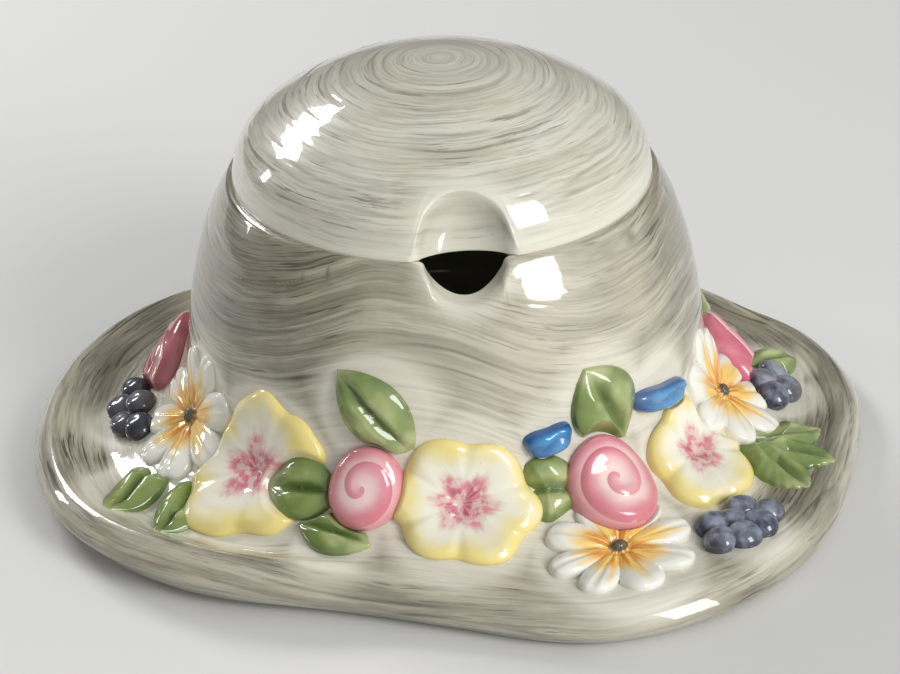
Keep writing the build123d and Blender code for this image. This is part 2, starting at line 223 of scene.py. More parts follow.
def closed_mesh(name, grid, values):
    """Closed mesh from a grid of rings in millimetres, with a point at each end, and its painting values."""
    count, across = grid.shape[:2]
    flat = np.concatenate([grid.reshape(-1, 3), grid[0].mean(axis=0)[None], grid[-1].mean(axis=0)[None]])
    here = np.arange(across)
    after = (here + 1) % across
    base = np.arange(count - 1)[:, None] * across
    quads = np.stack([base + here, base + across + here, base + across + after, base + after], axis=-1)
    first, last, end = count * across, count * across + 1, (count - 1) * across
    caps = [(first, int(a), int(b)) for a, b in zip(here, after)]
    caps += [(last, int(end + b), int(end + a)) for a, b in zip(here, after)]
    fields = {title: np.concatenate([field.reshape(-1), [field[0].mean(), field[-1].mean()]])
              for title, field in values.items()}
    return new_mesh(name, (flat * MM).tolist(), quads.reshape(-1, 4).tolist() + caps, fields)


def finish_piece(name, mesh, body, node, material):
    """Puts a finished mesh in the scene in place of its plain solid."""
    piece = bpy.data.objects.new(name, mesh)
    bpy.context.scene.collection.objects.link(piece)
    mesh.materials.append(material)
    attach(piece, body)
    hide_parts(node)
    return piece


def channel_top(x, y, edge):
    """Height of the bowl's rim where the spoon channel runs through it, with an edge rounded by so much."""
    side = np.linspace(0, 1, 40)
    low = np.sqrt(SPOON_RADIUS**2 - edge**2)
    round_x = low * np.sin(side * pi / 2)
    round_z = -np.sqrt(SPOON_RADIUS**2 - round_x**2)
    bend = np.linspace(0, 1, 12)[1:]
    bend_x = (1 - bend) ** 2 * low + 2 * bend * (1 - bend) * SPOON_RADIUS + bend**2 * (SPOON_RADIUS + edge)
    bend_z = -((1 - bend) ** 2) * edge
    drop = np.interp(np.abs(x), np.append(round_x, bend_x), np.append(round_z, bend_z), right=0.0)
    fall = CHANNEL_SLOPE * (y + MOUTH_RADIUS) * np.clip(-drop / edge, 0, 1)
    return SEAM_HEIGHT + np.where(y < 0, CHANNEL_DROP * drop + fall, 0.0)


def wall_radius(line, height):
    """Radius of a turned wall at a height, along a soft curve through its stations."""
    stations = [np.array([[r, z]]) for z, r in line]
    curve = np.array(soft_line(stations, [12] * (len(line) - 1)))[:, 0]
    return np.interp(height, curve[:, 1], curve[:, 0])


def ring(radius, height):
    """Row of (radius, height), one pair for every column round the hat."""
    return np.stack([radius * ONES, height * ONES], axis=1)


def wall_ring(line, height, swell=0.0):
    """Row at a height on a wall, moved out by a swell."""
    return ring(wall_radius(line, height) + swell, height)


def rim_height(line, edge):
    """Height of a wall's top at each column, closed in on in a few steps where the channel runs."""
    top = SEAM_HEIGHT * ONES
    for _ in range(8):
        radius = wall_radius(line, top)
        top = 0.5 * top + 0.5 * channel_top(radius * np.cos(ANGLES), radius * np.sin(ANGLES), edge)
    return top


def run_along(rows):
    """Distance from the first row down to each row."""
    steps = np.linalg.norm(np.diff(rows, axis=0), axis=-1)
    return np.concatenate([0 * steps[:1], np.cumsum(steps, axis=0)])


ANGLES = columns_round()
ONES = np.ones(len(ANGLES))
inner_top, outer_top = rim_height(INSIDE_LINE, CHANNEL_EDGE), rim_height(CROWN_LINE, CHANNEL_FLARE)
brim_lines = np.array([brim_line(a) for a in np.degrees(ANGLES)]).transpose(1, 0, 2)

# Rows from the middle of the bowl's floor up its inside, over the rim and down to the foot
flat_floor = INSIDE_FOOT - FLOOR_CORNER
bowl_rows = [ring(r, BOWL_FLOOR) for r in np.linspace(2.0, flat_floor, 8, endpoint=False)]
bowl_rows += [ring(flat_floor + FLOOR_CORNER * sin(t), BOWL_FLOOR + FLOOR_CORNER * (1 - cos(t)))
              for t in np.linspace(0, pi / 2, 8)]
bowl_rows += [wall_ring(INSIDE_LINE, WALL_FOOT + (inner_top - THROAT - WALL_FOOT) * share)
              for share in np.linspace(0, 1, 30)[1:]]
near_channel = np.clip((CHANNEL_REACH - np.abs(RIM_RADIUS * np.cos(ANGLES))) / CHANNEL_FADE, 0, 1)
rim_round = RIM_ROUND_OUTSIDE + CHANNEL_FLARE * eased(near_channel) * (np.sin(ANGLES) < 0)
rim_corners = [bowl_rows.pop(), wall_ring(INSIDE_LINE, inner_top), wall_ring(CROWN_LINE, outer_top),
               wall_ring(CROWN_LINE, outer_top - RIM_BAND)]
bowl_rows += rounded_line(rim_corners, [RIM_ROUND_INSIDE, rim_round[:, None]], [3, 4, 2], 8)
straw_start = len(bowl_rows) - 8
bowl_rows += [wall_ring(CROWN_LINE, outer_top - RIM_BAND + (CROWN_FOOT - outer_top + RIM_BAND) * share)
              for share in np.linspace(0, 1, 84)[1:-1]]
root_stations = [wall_ring(CROWN_LINE, CROWN_FOOT + 6.0), wall_ring(CROWN_LINE, CROWN_FOOT),
                 wall_ring(CROWN_LINE, CROWN_FOOT - 5.0, ROOT_SWELL)] + list(brim_lines)
bowl_rows += soft_line(root_stations, [1, 13, 15, 20, 26, 30, 14, 10])[1:]
straw_end = len(bowl_rows)
lip_row = straw_end - 40
under_stations = [brim_lines[-1], ring(ROOT_RADIUS + 4.0, brim_lines[-1][:, 1] / 2 + 2.0),
                  ring(FOOT_RADIUS, 2.0), ring(FOOT_RADIUS - 1.0, 0.0)]
bowl_rows += rounded_line(under_stations, [2.0, 0.4], [8, 6, 3], 4)[1:]
bowl_rows += [ring(r, 0.0) for r in (50.0, 40.0, 30.0, 20.0, 10.0, 3.0)]

bowl_grid = turned_points(bowl_rows, ANGLES)
bowl_along = run_along(bowl_grid)
bowl_along += BRIM_ARC - bowl_along[lip_row]
FADE_ROWS = 8
straw_mask = np.zeros(len(bowl_rows))
straw_mask[straw_start:straw_end] = 1.0
straw_mask[straw_start:straw_start + FADE_ROWS] = np.linspace(0, 1, FADE_ROWS)
straw_mask[straw_end - FADE_ROWS:straw_end] = np.linspace(1, 0, FADE_ROWS)
bowl_grid, bowl_groove = raise_straw(bowl_grid, bowl_along, straw_mask[:, None] * ONES)

# Places of the garland's pieces: name, half sizes, angle, distance out, turn and lift
GARLAND = [
    ("berries_left", 3.4, [(-8.0, 1.4), (-2.8, -1.8), (-1.2, 2.4), (3.4, -1.6), (6.6, 1.4)], -174.5, 11.0, 0,
     0.8),
    ("berries_right", 3.4, [(-6.6, -0.6), (-2.2, -3.0), (2.6, -3.0), (7.0, -1.4), (-3.8, 3.0), (0.6, 1.4),
     (4.6, 2.6)], -50.5, 21.6, 0, 0.8),
    ("berries_right_back", 3.6, [(-4.2, 0.6), (0.0, -2.6), (0.5, 2.6), (4.5, 0.0)], -11, 13.5, 0, 0.8),
    ("berries_back", 3.7, [(-4.4, 0.0), (0.2, 2.2), (4.6, 0.4), (0.0, -2.4)], 108, 9.5, 0, 0.8),
    ("rosebud_left", 10.0, 6.4, -187, 0.0, 28, 0.6),
    ("rosebud_front_left", 7.8, 7.0, -111.2, -3.0, 115, 0.6),
    ("rosebud_front_right", 9.2, 8.6, -64.2, 1.6, 60, 0.6),
    ("rosebud_right", 9.4, 5.2, -6.5, 2.0, 135, 0.6),
    ("rosebud_back_right", 8.6, 7.0, 51, 0.0, 120, 0.6),
    ("rosebud_back_left", 8.8, 7.2, 99, -1.0, 65, 0.6),
    ("ribbon_loop_front", 4.6, 2.9, -75, -11.8, -8, 0.0),
    ("ribbon_loop_right", 8.2, 2.7, -45.5, -11.2, 12, 0.0),
    ("daisy_left", 13.9, 13.4, -159, -1.5, 10, 1.6),
    ("daisy_right", 13.8, 13.2, -23, 1.0, 0, 1.6),
    ("daisy_back", 13.0, 12.4, 68, 0.5, 15, 1.6),
    ("daisy_back_left", 13.2, 12.8, 120, 0.5, 5, 1.6),
    ("leaf_front_left_upper", 7.8, 6.0, -124, -0.6, 170, 0.8),
    ("bloom_front", 14.8, 11.6, -93, -1.0, 8, 1.6),
    ("bloom_left", 15.8, 13.6, -135, -1.0, -35, 1.6),
    ("bloom_right", 12.8, 11.4, -43, 4.0, 0, 1.6),
    ("bloom_back_right", 13.0, 12.0, 37, 1.0, 20, 1.6),
    ("bloom_back", 14.4, 11.8, 84, 0.0, -10, 1.6),
    ("bloom_back_left", 12.8, 11.6, 137, 0.5, 30, 1.6),
    ("daisy_front_right", 15.5, 11.0, -69, 14.0, 0, 1.6),
    ("leaf_front", 8.0, 6.2, -76.5, -1.8, 190, 0.8),
    ("leaf_front_left_lower", 7.8, 4.4, -115.5, 6.6, 8, 0.8),
    ("leaf_crown_left", 10.4, 6.0, -110, -19.0, 225, 0.0),
    ("leaf_crown_right", 9.0, 7.4, -61.5, -15.6, 245, 0.0),
    ("leaf_left_inner", 8.4, 4.8, -144, 13.2, 68, 0.8),
    ("leaf_left_outer", 10.6, 5.2, -154, 15.6, 58, 0.8),
    ("leaf_spray_right", 10.4, 5.6, -30, 10.0, 82, 0.8),
    ("leaf_right_back", 6.8, 4.4, -2, 15.0, 60, 0.8),
    ("leaf_crown_right_back", 7.0, 4.0, 8, -3.5, 255, 0.8),
    ("leaf_back_right", 8.4, 4.6, 46, 10.5, 100, 0.8),
    ("leaf_crown_back", 9.2, 5.6, 58, -16.0, 250, 0.0),
    ("leaf_back", 8.2, 4.6, 76, 9.0, 85, 0.8),
    ("leaf_back_left", 8.4, 5.0, 97, 10.0, 70, 0.8),
    ("leaf_crown_back_left", 9.2, 5.6, 128, -15.5, 290, 0.0),
]


def section_point(line, start, distance):
    """Point at a distance along a section from the station called start, outwards or back."""
    step = 1 if distance >= 0 else -1
    left = abs(distance)
    here = start
    while True:
        (r0, z0), (r1, z1) = line[here], line[here + step]
        length = hypot(r1 - r0, z1 - z0)
        last = here + 2 * step < 0 or here + 2 * step >= len(line)
        if left <= length or last:
            return r0 + (r1 - r0) * left / length, z0 + (z1 - z0) * left / length
        left -= length
        here += step


def seat(angle, out, turn, lift):
    """Origin and axes, as columns, of the place on the hat where a piece of the garland lies."""
    wall = [(r, z) for z, r in reversed(CROWN_LINE[:-1]) if z > ROOT_HEIGHT + 2.0]
    line = wall + brim_line(angle)
    spots = [section_point(line, len(wall), out + shift) for shift in (-2.0, 0.0, 2.0)]
    slope = atan2(spots[2][1] - spots[0][1], spots[2][0] - spots[0][0])
    a, t = radians(angle), radians(turn)
    outward = np.array([cos(slope) * cos(a), cos(slope) * sin(a), sin(slope)])
    tangent = np.array([-sin(a), cos(a), 0.0])
    normal = np.cross(outward, tangent)
    across = tangent * cos(t) + outward * sin(t)
    origin = np.array([spots[1][0] * cos(a), spots[1][0] * sin(a), spots[1][1]]) + normal * lift
    return origin, np.stack([across, np.cross(normal, across), normal], axis=1)


CLUSTER_SIZE = 9.0
PALE_MARGIN = 6.0
near_garland = np.zeros(bowl_grid.shape[:2])
for entry in GARLAND:
    size = CLUSTER_SIZE if isinstance(entry[2], list) else max(entry[1:3])
    gap = np.linalg.norm(bowl_grid - seat(*entry[-4:])[0], axis=2) - size
    near_garland = np.maximum(near_garland, np.clip(1 - gap / PALE_MARGIN, 0, 1))


def as_seen(red, green, blue):
    """Shader colour from a colour as the eye sees it, 0 to 255."""
    return tuple((c / 12.92 if c <= 0.04045 else ((c + 0.055) / 1.055) ** 2.4)
                 for c in (red / 255, green / 255, blue / 255)) + (1.0,)


class Tone:
    """Value, colour or place that changes over a surface: a shader node's output that counts as a number."""

    def __init__(self, output):
        self.output, self.tree = output, output.id_data

    def __add__(self, other):
        return worked("ADD", self, other)

    def __sub__(self, other):
        return worked("SUBTRACT", self, other)

    def __rsub__(self, other):
        return worked("SUBTRACT", other, self)

    def __mul__(self, other):
        return worked("MULTIPLY", self, other)

    def __truediv__(self, other):
        return worked("DIVIDE", self, other)

    def __rtruediv__(self, other):
        return worked("DIVIDE", other, self)

    def moved(self, noise, amount):
        """The tone shifted up and down by a noise."""
        return self + (noise - 0.5) * amount


def feed(socket, value):
    """Feeds a socket with a tone, a number or a colour."""
    if isinstance(value, Tone):
        value.tree.links.new(value.output, socket)
    else:
        socket.default_value = value


def place(tree, kind, group=None, **sockets):
    """Adds a shader node, or a node group, and feeds its named sockets."""
    item = tree.nodes.new(kind)
    if group:
        item.node_tree = group
    for title, value in sockets.items():
        feed(item.inputs[title.replace("_", " ")], value)
    return item


def worked(kind, *values):
    """Tone worked out from tones and numbers by one math node."""
    item = place(next(v for v in values if isinstance(v, Tone)).tree, "ShaderNodeMath")
    item.operation = kind
    for socket, value in zip(item.inputs, values):
        feed(socket, value)
    return Tone(item.outputs[0])


def soft_step(value, low, high):
    """Tone that rises softly from 0 to 1 as the value goes from low to high."""
    item = place(value.tree, "ShaderNodeMapRange", Value=value, From_Min=low, From_Max=high)
    item.interpolation_type = "SMOOTHSTEP"
    return Tone(item.outputs["Result"])


def blend(share, first, second):
    """Two colours mixed by a share."""
    item = place(share.tree, "ShaderNodeMix")
    item.data_type = "RGBA"
    for index, value in ((0, share), (6, first), (7, second)):
        feed(item.inputs[index], value)
    return Tone(item.outputs[2])


def painted(tree, title):
    """Tone from one of the mesh's painting values."""
    item = place(tree, "ShaderNodeAttribute")
    item.attribute_name = title
    return Tone(item.outputs["Fac"])


def in_space(tree):
    """Place of the surface in space, in metres."""
    return Tone(place(tree, "ShaderNodeTexCoord").outputs["Object"])


def cloud(spot, scale, detail=2.0, roughness=0.5):
    """Soft noise at a place."""
    return Tone(place(spot.tree, "ShaderNodeTexNoise", Vector=spot, Scale=scale, Detail=detail,
                      Roughness=roughness).outputs["Fac"])


def split(spot):
    """The three parts of a place."""
    return [Tone(part) for part in place(spot.tree, "ShaderNodeSeparateXYZ", Vector=spot).outputs]


def put_together(x, y, z):
    """Place from its three parts."""
    return Tone(place(x.tree, "ShaderNodeCombineXYZ", X=x, Y=y, Z=z).outputs[0])


def own_group(name, inputs, outputs):
    """Empty node group, the tones that it is given and the sockets that it puts out, by name."""
    group = bpy.data.node_groups.new(name, "ShaderNodeTree")
    for side, titles in (("INPUT", inputs), ("OUTPUT", outputs)):
        for title in titles:
            kind = "NodeSocketColor" if title == "Colour" else "NodeSocketFloat"
            group.interface.new_socket(title, in_out=side, socket_type=kind)
    given = {socket.name: Tone(socket) for socket in group.nodes.new("NodeGroupInput").outputs}
    return group, given, group.nodes.new("NodeGroupOutput").inputs


def fill(tree, group, **sockets):
    """Tones that a node group puts out in a material, by name."""
    return {output.name: Tone(output) for output in place(tree, "ShaderNodeGroup", group, **sockets).outputs}


# Brush streaks: hairs of grey stain dragged round the hat along the straw
BRUSH, given, made = own_group("brush_streaks", ["Along", "Pitch", "Length", "Wander"],
                               ["Streaks", "Patches"])
spot = in_space(BRUSH)
flow = (given["Along"] + (cloud(spot, 42.0, 3.0) - 0.5) * given["Wander"]) / given["Pitch"]
x, y, _ = split(spot)
drawn_out = 1000.0 / given["Length"]
feed(made["Streaks"], cloud(put_together(x * drawn_out, y * drawn_out, flow), 1.0, 4.0, 0.62))
feed(made["Patches"], cloud(spot, 55.0, 3.0))

# Glaze skin: slight waviness and pinhead specks of a fired clear glaze
SKIN, given, made = own_group("glaze_skin", ["Colour", "Specks"], ["Colour", "Roughness", "Waviness"])
spot = in_space(SKIN)
pores = place(SKIN, "ShaderNodeTexVoronoi", Vector=spot, Scale=260.0, Randomness=1.0)
pores = Tone(pores.outputs["Distance"])
some = soft_step(cloud(spot, 170.0), 0.55, 0.62)
speck = (1.0 - soft_step(pores, 0.03, 0.09)) * some * given["Specks"]
tone = cloud(spot, 90.0, 3.0)
toned = blend(soft_step(tone, 0.35, 0.75) * 0.10, given["Colour"], as_seen(228, 214, 178))
feed(made["Colour"], blend(speck, toned, as_seen(110, 98, 80)))
feed(made["Roughness"], tone * 0.14 + 0.24)
feed(made["Waviness"], cloud(spot, 210.0))
GLAZE_WAVE = 0.00005
GLAZE_SPECKS = 0.4


def glaze(name, colour, *values):
    """Glossy painted earthenware: a painted colour under a clear coat with a slightly wavy skin."""
    material = bpy.data.materials.new(name)
    material.use_nodes = True
    tree = material.node_tree
    shader = tree.nodes["Principled BSDF"]
    skin = fill(tree, SKIN, Colour=colour(tree, *values), Specks=GLAZE_SPECKS)
    feed(shader.inputs["Base Color"], skin["Colour"])
    feed(shader.inputs["Roughness"], skin["Roughness"])
    shader.inputs["Specular IOR Level"].default_value = 0.25
    shader.inputs["Coat Weight"].default_value = 1.0
    shader.inputs["Coat Roughness"].default_value = 0.03
    shader.inputs["Coat IOR"].default_value = 1.5
    bump = place(tree, "ShaderNodeBump", Strength=1.0, Distance=GLAZE_WAVE, Height=skin["Waviness"])
    for title in ("Normal", "Coat Normal"):
        feed(shader.inputs[title], Tone(bump.outputs["Normal"]))
    return material


# Pitch, length and wander of the brush's hairs, in millimetres
HAIRS = [(0.55, 15.0, 3.2), (0.95, 22.0, 3.4), (3.0, 34.0, 3.8)]


def straw_colour(tree, pale, stain, deep, pooled, cover):
    """Stained straw: pale clay or pooled glaze, brushed stain over it and deep stain in the grooves, with
    painted shade where the bareness and groove values carry it.
    """
    along, bare_and_shade = painted(tree, "along"), painted(tree, "bare_and_shade")
    fine, drawn, broad = (fill(tree, BRUSH, Along=along, Pitch=pitch, Length=length, Wander=wander)
                          for pitch, length, wander in HAIRS)
    kept = 1.0 - bare_and_shade * 0.9
    wash = soft_step(broad["Streaks"], 0.38, 0.62) * 0.5 + cover
    clay = blend(soft_step(bare_and_shade, 0.35, 0.9), pale, pooled)
    body = blend(wash * kept, clay, stain)
    hair = soft_step(fine["Streaks"], 0.48, 0.60) * 0.34
    patchy = soft_step(drawn["Patches"], 0.42, 0.6) * 0.7 + 0.16
    line = soft_step(drawn["Streaks"], 0.56, 0.61) * patchy
    marks = worked("MAXIMUM", worked("MAXIMUM", hair, line), painted(tree, "groove") * 0.85)
    return blend(marks * kept, body, deep)


# How much darker the straw is painted, by the angle round the hat; below 0 it is painted paler. On the crown
# this is painted shade on the flanks and painted light at the front; on the brim it only darkens or pales the
# stain.
BRIM_DARKENING = [(-180, 0.5), (-130, 0.4), (-95, -0.1), (-62, 0.4), (-28, 1.4), (20, 1.1), (90, 0.6), (140, 0.6)]
CROWN_PAINTED_SHADE = [(-180, 0.9), (-135, 0.85), (-108, -0.12), (-75, -0.42), (-48, -0.2), (-22, 0.5), (30, 0.6),
               (100, 0.6)]
BRIM_START = 62.0
CROWN_START = 22.0
HALO_WIDTH = 4.5
outside = np.zeros((len(bowl_rows), 1))
outside[straw_start - 2:straw_end + 6] = 1.0
from_gap = np.hypot(bowl_grid[..., 0], bowl_grid[..., 2] - SEAM_HEIGHT) - SPOON_RADIUS
halo = np.clip(1 - from_gap / HALO_WIDTH, 0, 1) ** 1.5 * (bowl_grid[..., 1] < 0)
bowl_bare_and_shade = np.maximum(np.maximum(near_garland * 0.9, 1.0 - outside), 0.85 * halo)
out = np.hypot(bowl_grid[..., 0], bowl_grid[..., 1])
inside_lip = np.clip((brim_lines[4][:, 0] - 2.0 - out) / 6.0, 0, 1)
on_brim = np.clip((out - BRIM_START) / 6.0, 0, 1) * inside_lip * outside
on_crown = np.clip((bowl_grid[..., 2] - CROWN_START) / 8.0, 0, 1) * outside * (1 - halo)
brim_darkening, crown_painted_shade = (np.array([around(table, a) for a in np.degrees(ANGLES)])
                           for table in (BRIM_DARKENING, CROWN_PAINTED_SHADE))
# Painted shade and light on the crown, and the brim's darkening, taken off the bareness away from the garland
bowl_bare_and_shade = bowl_bare_and_shade - (brim_darkening * on_brim + crown_painted_shade * on_crown) * (1 - near_garland)
bowl_mesh = closed_mesh("straw_hat_bowl", bowl_grid,
                        {"along": bowl_along, "groove": bowl_groove, "bare_and_shade": bowl_bare_and_shade})
bowl_paint = glaze("straw_glaze_bowl", straw_colour, as_seen(206, 200, 180), as_seen(136, 131, 113),
                   as_seen(80, 74, 62), as_seen(224, 219, 203), 0.38)
bowl_piece = finish_piece("straw_hat_bowl", bowl_mesh, "bowl", "hat_bowl", bowl_paint)

# The lid: the top of the crown, slip-cast and glazed like the bowl. A short flange drops inside the
# rim, and an upright scoop in its edge meets the bowl's channel. It lies on by its own weight.
LID_RADIUS = 42.3
DOME_HEIGHT = 23.4
LID_SHOULDER = 15.0
LID_WALL = 3.4
FLANGE_RADIUS = MOUTH_RADIUS - 0.6
FLANGE_DEPTH = 2.4
FLANGE_THICKNESS = 3.2
SCOOP_WIDTH = 21.5
SCOOP_DEPTH = 5.6
SCOOP_HOLLOW = 7.2
SCOOP_FOOT_DEPTH = 4.4
SCOOP_WALL = 3.0
SCOOP_LIP = 1.6
SEAM_EDGE = 1.4
EDGE_BAND = 3.4
EDGE_ROWS = 10


def dome_line(radius, height, base, shoulder):
    """Points along a dome's section from its top down to its foot, a wide arc and a shoulder arc."""
    reach = radius - shoulder
    crown = (reach**2 + height**2 - shoulder**2) / (2 * (height - shoulder))
    share = crown / (crown - shoulder)
    turn = asin(reach * share / crown)
    over = [(crown * sin(t), base + height - crown * (1 - cos(t))) for t in np.linspace(0, turn, 80)]
    side = [(reach + shoulder * sin(t), base + shoulder * cos(t)) for t in np.linspace(turn, pi / 2, 60)[1:]]
    return np.array(over + side)


def scoop_share():
    """How deep the scoop is at each column: a round hollow whose edge is rolled out to the lid's face."""
    off = (ANGLES - radians(GAP_ANGLE) + pi) % (2 * pi) - pi
    across = np.linspace(-18.0, 18.0, 721)
    hollow = np.clip(1 - (across / (SCOOP_WIDTH / 2 - SCOOP_LIP)) ** 2, 0, 1) ** 0.65
    roll = np.hanning(int(40 * SCOOP_LIP) + 1)
    rolled = np.convolve(hollow, roll / roll.sum(), "same")
    return np.interp(LID_RADIUS * np.sin(off), across, rolled) * (np.abs(off) < 1)


def on_dome(run):
    """Row at a distance from the lid's top down its outside, one distance for every column."""
    return np.stack([np.interp(run, outer_run, outer_line[:, k]) for k in (0, 1)], axis=1)


outer_line = dome_line(LID_RADIUS, DOME_HEIGHT, SEAM_HEIGHT, LID_SHOULDER)
outer_run = run_along(outer_line)
scooped = scoop_share()
edge_radius = LID_RADIUS - SCOOP_DEPTH * scooped
foot_radius = LID_RADIUS - SCOOP_FOOT_DEPTH * scooped
hollow_radius = LID_RADIUS - SCOOP_HOLLOW * scooped
full_run = outer_run[-1] - SEAM_EDGE
edge_run = np.minimum(np.interp(edge_radius, outer_line[:, 0], outer_run), full_run)
edge_height = on_dome(edge_run)[:, 1]
lip_run = edge_run - EDGE_BAND
band_run = full_run - EDGE_BAND
lid_rows = [on_dome(band_run * share - (band_run - lip_run) * eased(np.clip((share - 0.5) / 0.5, 0, 1)))
            for share in np.linspace(0, 1, 120)[1:-1]]
lid_outside = len(lid_rows) + EDGE_ROWS
flange_radius = np.minimum(FLANGE_RADIUS, foot_radius - 1.0)
flange_foot = SEAM_HEIGHT - FLANGE_DEPTH * (1 - 0.85 * np.clip(4 * scooped, 0, 1))
void_radius = FLANGE_RADIUS - FLANGE_THICKNESS
back_radius = hollow_radius - SCOOP_WALL
void_edge = np.minimum(void_radius, back_radius)
lid_corners = [on_dome(lip_run), ring(edge_radius, edge_height),
               ring(hollow_radius, 0.5 * (SEAM_HEIGHT + edge_height)), ring(foot_radius, SEAM_HEIGHT),
               ring(flange_radius, SEAM_HEIGHT), ring(flange_radius, flange_foot),
               ring(void_edge, flange_foot), ring(void_edge, SEAM_HEIGHT)]
lid_rows += rounded_line(lid_corners, [(2.8 - 1.3 * scooped**0.5)[:, None], 3.0, 0.9, 0.3, 0.5, 0.5],
                         [2, 4, 4, 3, 3, 4, 3], 9)
void_line = dome_line(void_radius, DOME_HEIGHT + FLANGE_DEPTH - LID_WALL, SEAM_HEIGHT - FLANGE_DEPTH,
                      LID_SHOULDER)
for share in np.linspace(1, 0, 26)[1:-1]:
    index = share * (len(void_line) - 1)
    radius, height = (np.interp(index, np.arange(len(void_line)), void_line[:, k]) for k in (0, 1))
    if height > SEAM_HEIGHT:
        lid_rows.append(ring(np.minimum(radius, back_radius), height))

lid_grid = turned_points(lid_rows, ANGLES)
lid_along = run_along(lid_grid)
from_seam = np.clip((lid_grid[..., 2] - SEAM_HEIGHT - 3.5) / 4.0, 0, 1)
lid_mask = np.zeros((len(lid_rows), 1))
lid_mask[:lid_outside] = 1.0
lid_mask[lid_outside - EDGE_ROWS:lid_outside, 0] = np.linspace(1, 0, EDGE_ROWS)
from_scoop = np.hypot(2 * lid_grid[..., 0] / SCOOP_WIDTH,
                      (lid_grid[..., 1] + LID_RADIUS) / (SCOOP_DEPTH + 3.5))
to_scoop = np.clip((from_scoop - 0.85) / 0.35, 0, 1)
lid_strength = lid_mask * (0.25 + 0.75 * from_seam) * (0.15 + 0.85 * to_scoop)
lid_grid, lid_groove_and_shade = raise_straw(lid_grid, lid_along, lid_strength)
lid_bare_and_shade = 1 - lid_mask * (0.35 + 0.65 * from_seam) * (0.2 + 0.8 * to_scoop)
# Painted shade in the scoop's hollow: its wall gets less bareness and a groove stain, so it paints darker
scoop_painted_shade = np.zeros(lid_bare_and_shade.shape)
scoop_painted_shade[lid_outside - 4:lid_outside + 26] = np.clip(3 * scooped, 0, 1)
lid_bare_and_shade = lid_bare_and_shade * (1 - scoop_painted_shade) + 0.35 * scoop_painted_shade
lid_groove_and_shade = np.maximum(lid_groove_and_shade, 0.5 * scoop_painted_shade) * (1 - lid_bare_and_shade)
lid_values = {"along": lid_along, "groove": lid_groove_and_shade, "bare_and_shade": lid_bare_and_shade}
lid_mesh = closed_mesh("straw_hat_lid", lid_grid[:, ::-1],
                       {title: field[:, ::-1] for title, field in lid_values.items()})
lid_paint = glaze("straw_glaze_lid", straw_colour, as_seen(219, 216, 200), as_seen(184, 180, 163),
                  as_seen(124, 119, 104), as_seen(222, 219, 203), 0.22)
finish_piece("straw_hat_lid", lid_mesh, "lid", "lid", lid_paint)

# Sprigs: flowers, leaves, berries and ribbon loops pressed in small moulds, stuck on with slip while
# the clay is soft, so that they bend with the hat, painted by brush and glazed with it.
DRAPE = 0.85
PRESS_DEPTH = 2.3
SUNK_DEPTH = 2.6
ABOVE_HAT = 12.0
RAY_LENGTH = 24.0
OFF_HAT = -2.0
ROLL_OVER = [(1.014, -0.25), (1.032, -0.8), (1.04, -1.6), (1.03, -2.6), (1.0, -4.5)]
hat_skin = BVHTree.FromObject(bowl_piece, bpy.context.evaluated_depsgraph_get())


def hat_below(origin, axes, x, y):
    """Height of the hat's surface over a seat's plane at each point, smoothed round each ring."""
    down = Vector(-axes[:, 2])
    starts = (origin + np.stack([x, y, ABOVE_HAT + 0 * x], axis=-1) @ axes.T) * MM
    found = np.full(x.shape, OFF_HAT)
    for index in np.ndindex(x.shape):
        distance = hat_skin.ray_cast(Vector(starts[index]), down, RAY_LENGTH * MM)[3]
        if distance is not None:
            found[index] = ABOVE_HAT - distance / MM
    around_ring = sum(np.roll(found, shift, axis=1) for shift in range(-4, 5)) / 9
    return np.clip(around_ring, -2.5, 7.0)


def half_sizes(entry):
    """Half length and half width of a piece of the garland."""
    if isinstance(entry[2], list):
        return [max(abs(middle[k]) for middle in entry[2]) + entry[1] for k in (0, 1)]
    return entry[1:3]


def pressed_down(name, points):
    """How far each point of a piece is pushed down by the pieces that lie over it."""
    push = np.zeros(points.shape[:-1])
    for other in GARLAND[:[entry[0] for entry in GARLAND].index(name)]:
        origin, axes = seat(*other[-4:])
        local = (points - origin) @ axes
        long, wide = half_sizes(other)
        inward = np.clip((1.10 - np.hypot(local[..., 0] / long, local[..., 1] / wide)) / 0.2, 0, 1)
        push = np.maximum(push, PRESS_DEPTH * inward * (np.abs(local[..., 2]) < 10))
    return push


def relief(name, entry, outline, height, rings=30, spokes=144, spot=None):
    """Relief bent over the hat: rings grow from its middle to its outline, then roll over into the hat."""
    key, long, wide, *where = entry
    origin, axes = spot or seat(*where)
    turn = np.linspace(0, 2 * pi, spokes, endpoint=False)
    far = outline(turn)
    levels = [(r**0.9, 0.0) for r in np.linspace(0, 1, rings + 1)[1:]] + ROLL_OVER
    share, sunk = np.array(levels).T[..., None]
    inside = np.minimum(share, 1.0)
    x, y = inside * far * np.cos(turn), inside * far * np.sin(turn)
    level = height(x, y, inside + 0 * turn, turn + 0 * inside) + sunk
    x, y = x * share / inside, y * share / inside
    ground = hat_below(origin, axes, long * x, wide * y)
    grid = np.stack([long * x, wide * y, DRAPE * ground + (DRAPE - 1) * where[-1] + level], axis=2)
    pushed = grid[..., 2] - pressed_down(key, origin + grid @ axes.T)
    grid[..., 2] = np.maximum(pushed, ground - SUNK_DEPTH)
    points = origin + grid @ axes.T
    return closed_mesh(name, points, {"reach": inside + 0 * turn, "local_x": x, "local_y": y, "level": level})


def spots_of(word):
    """Entries of the garland whose names begin with a word."""
    return [entry for entry in GARLAND if entry[0].startswith(word)]


